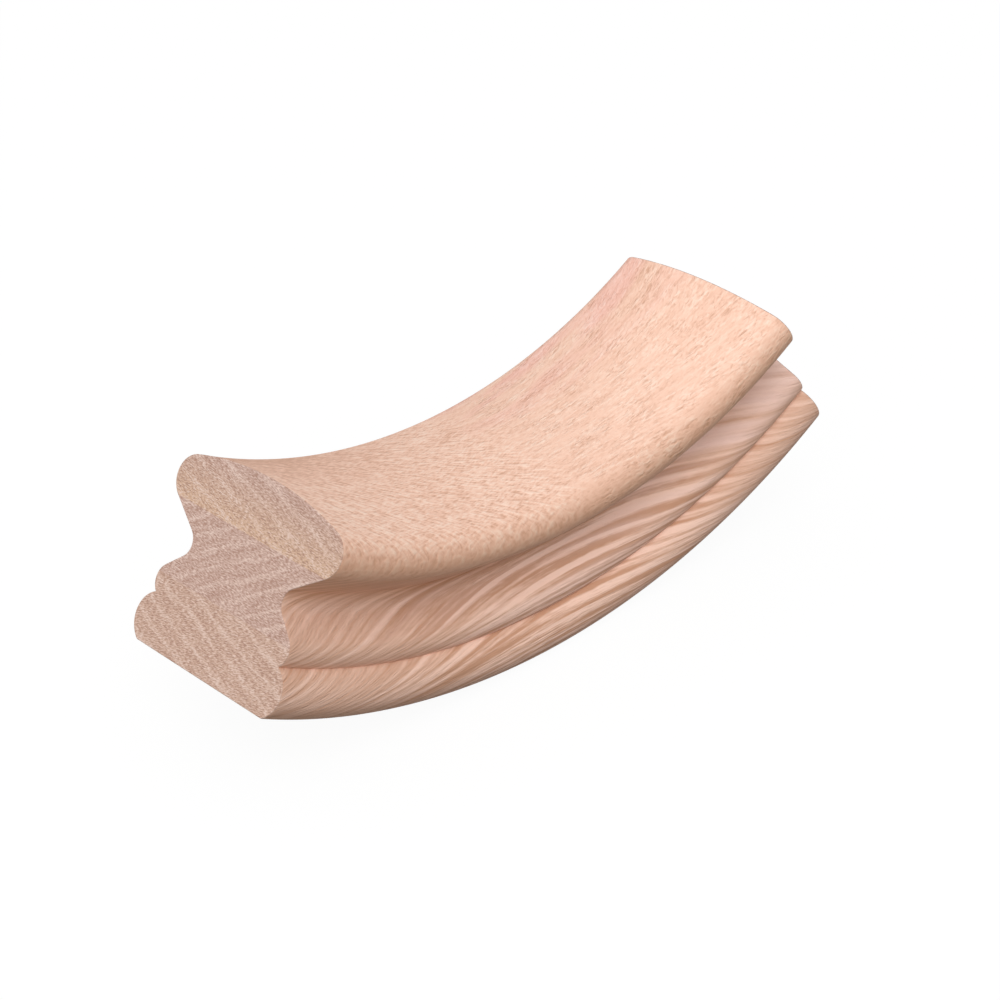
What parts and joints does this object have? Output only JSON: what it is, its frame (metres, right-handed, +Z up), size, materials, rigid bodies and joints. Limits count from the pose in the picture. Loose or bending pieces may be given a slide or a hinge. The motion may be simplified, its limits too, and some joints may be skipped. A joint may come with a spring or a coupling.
{
  "type": "handrail up easing",
  "caption": "Solid oak moulded handrail fitting that curves upwards to join two straight rails at different slopes.",
  "frame": {"origin": "middle of the curved underside's lowest line, which is the bottom centre of the whole fitting", "axes": "+X along the chord of the bend from end to end, +Y across the rail, +Z up, on the rail's crown side"},
  "size_m": [0.2382, 0.0692, 0.084],
  "materials": {
    "red_oak": "raw sanded, unfinished"
  },
  "bodies": {
    "root": {"up_easing": "red_oak"}
  },
  "joints": []
}
